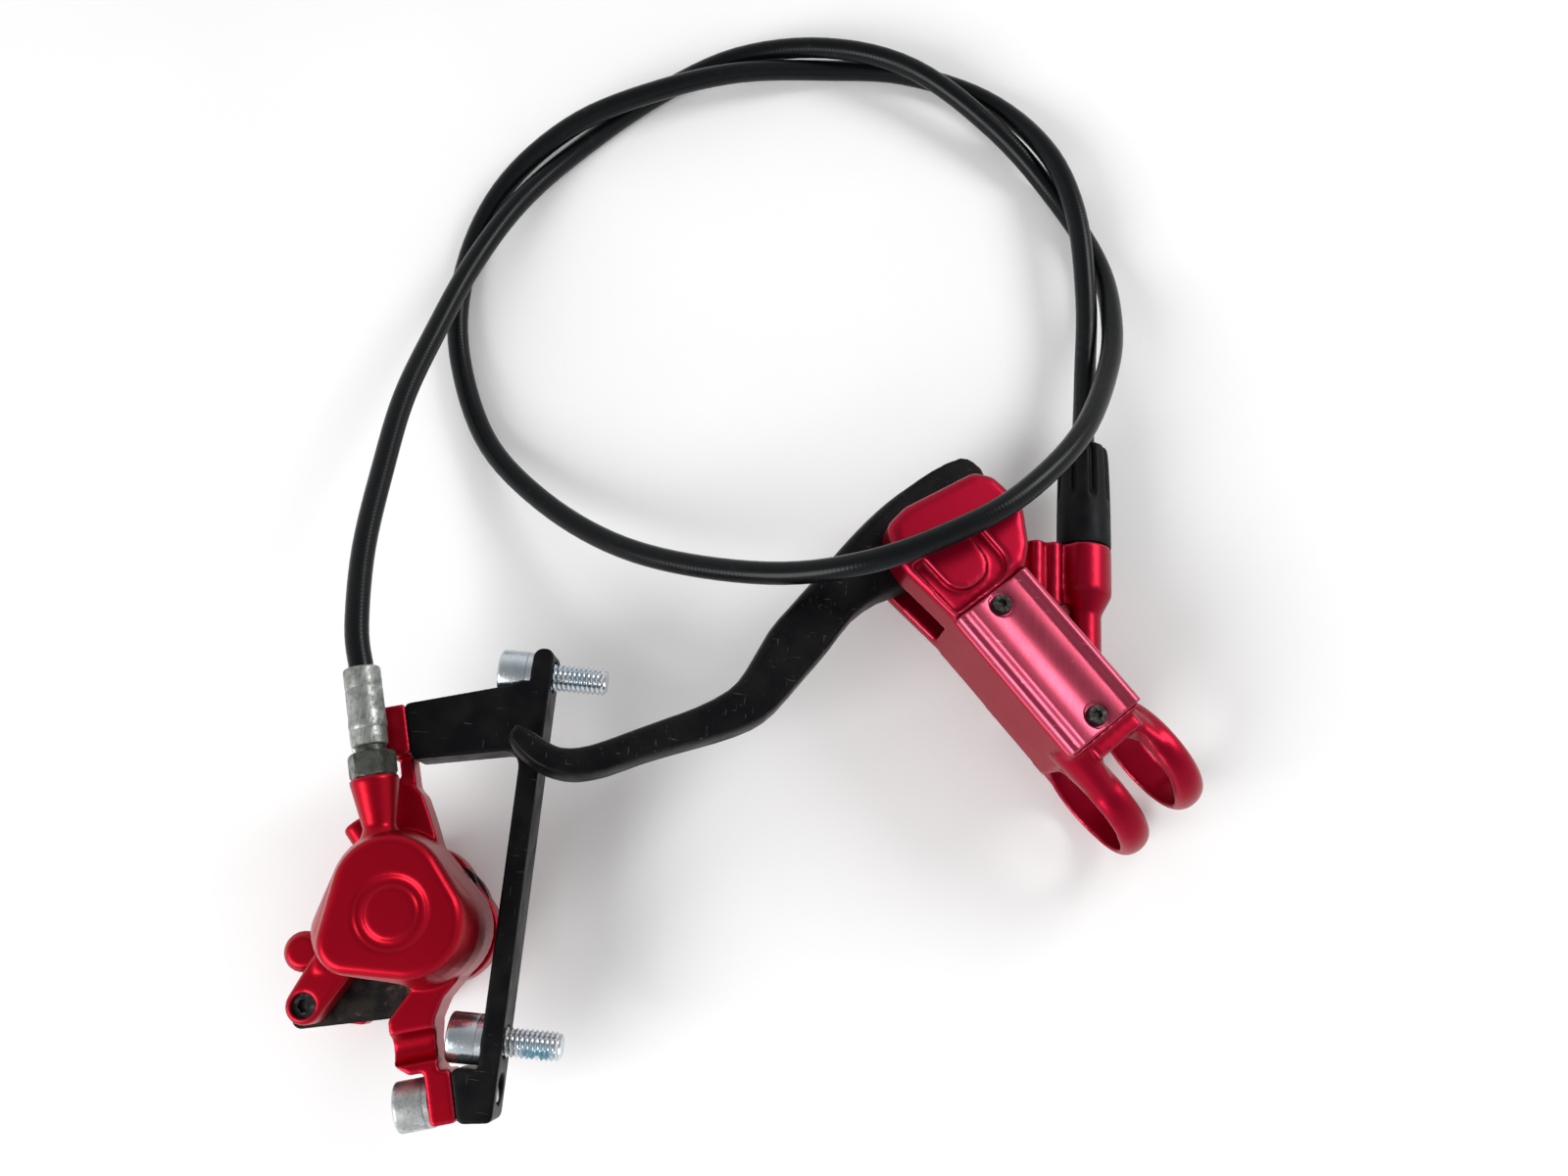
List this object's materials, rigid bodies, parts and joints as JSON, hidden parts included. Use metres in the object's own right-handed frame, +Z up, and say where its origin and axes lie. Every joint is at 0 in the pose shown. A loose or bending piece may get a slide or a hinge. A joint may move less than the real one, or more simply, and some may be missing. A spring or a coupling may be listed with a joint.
{
  "type": "hydraulic disc brake",
  "caption": "Hydraulic bicycle disc brake: caliper with pads on a fork adapter, a looped hose, and a hand lever with reservoir and bar clamp.",
  "frame": {"origin": "midway between the two fork bolts, on the adapter face that meets the fork", "axes": "+X along the fork bolts into the fork, +Y from the lower to the upper fork bolt, +Z up from the table that the brake lies on"},
  "size_m": [0.1886, 0.2636, 0.0429],
  "materials": {
    "body_red": "red anodised, satin",
    "lid_red": "paler red, brushed lengthwise",
    "adapter_black": "satin black",
    "lever_black": "gloss black, scuffed",
    "zinc": "zinc plated",
    "steel": "grey, worn",
    "dark_steel": "blackened",
    "brass": "plain",
    "rubber": "matte black",
    "hose_black": "satin black",
    "friction": "rough, dusty",
    "pad_steel": "dirty black"
  },
  "bodies": {
    "brake": {"adapter": "adapter_black", "fork_bolts": "zinc", "fork_washers": "zinc", "caliper_bolts": "zinc", "caliper_washers": "zinc", "caliper_body": "body_red", "bore_cap": "body_red", "cap_seal": "rubber", "piston_seal_outer": "rubber", "piston_seal_inner": "rubber", "pad_pin": "dark_steel", "bleed_screw": "dark_steel", "hose_fitting": "steel", "crimp_sleeve": "steel", "hose": "hose_black", "hose_boot": "rubber", "lever_hose_nut": "steel", "olive": "brass", "hose_insert": "brass", "master_body": "body_red", "reservoir_lid": "lid_red", "lid_screws": "dark_steel", "diaphragm": "rubber", "clamp_screw": "dark_steel", "retaining_ring": "steel", "return_spring": "steel", "pivot_pin": "steel"},
    "lever": {"lever_blade": "lever_black", "pivot_bushes": "brass"},
    "master_piston_set": {"master_piston": "steel", "primary_seal": "rubber", "secondary_seal": "rubber", "pushrod": "steel"},
    "outer_pad_set": {"piston_outer": "steel", "pad_plate_outer": "pad_steel", "pad_lining_outer": "friction"},
    "inner_pad_set": {"piston_inner": "steel", "pad_plate_inner": "pad_steel", "pad_lining_inner": "friction"}
  },
  "joints": [
    {"name": "lever_pivot", "type": "hinge", "parent": "brake", "child": "lever", "pos_m": [0.08514, 0.08226, -0.01212], "axis": [0.1196, 0.1151, 0.9861], "range_deg": [0, 22], "stiffness_Nm_per_rad": 0.6, "springref_deg": -11.46},
    {"name": "master_slide", "type": "slide", "parent": "brake", "child": "master_piston_set", "axis": [0.6934, -0.7206, 0], "range_m": [0, 0.0057], "deforming": ["return_spring"]},
    {"name": "outer_pad_slide", "type": "slide", "parent": "brake", "child": "outer_pad_set", "axis": [0, 0, -1], "range_m": [0, 0.0006]},
    {"name": "inner_pad_slide", "type": "slide", "parent": "brake", "child": "inner_pad_set", "axis": [0, 0, 1], "range_m": [0, 0.0006]}
  ],
  "couplings": [
    {"joint": "master_slide", "follows": "lever_pivot", "m_per_rad": 0.0147},
    {"joint": "outer_pad_slide", "follows": "lever_pivot", "m_per_rad": 0.0015},
    {"joint": "inner_pad_slide", "follows": "lever_pivot", "m_per_rad": 0.0015}
  ]
}
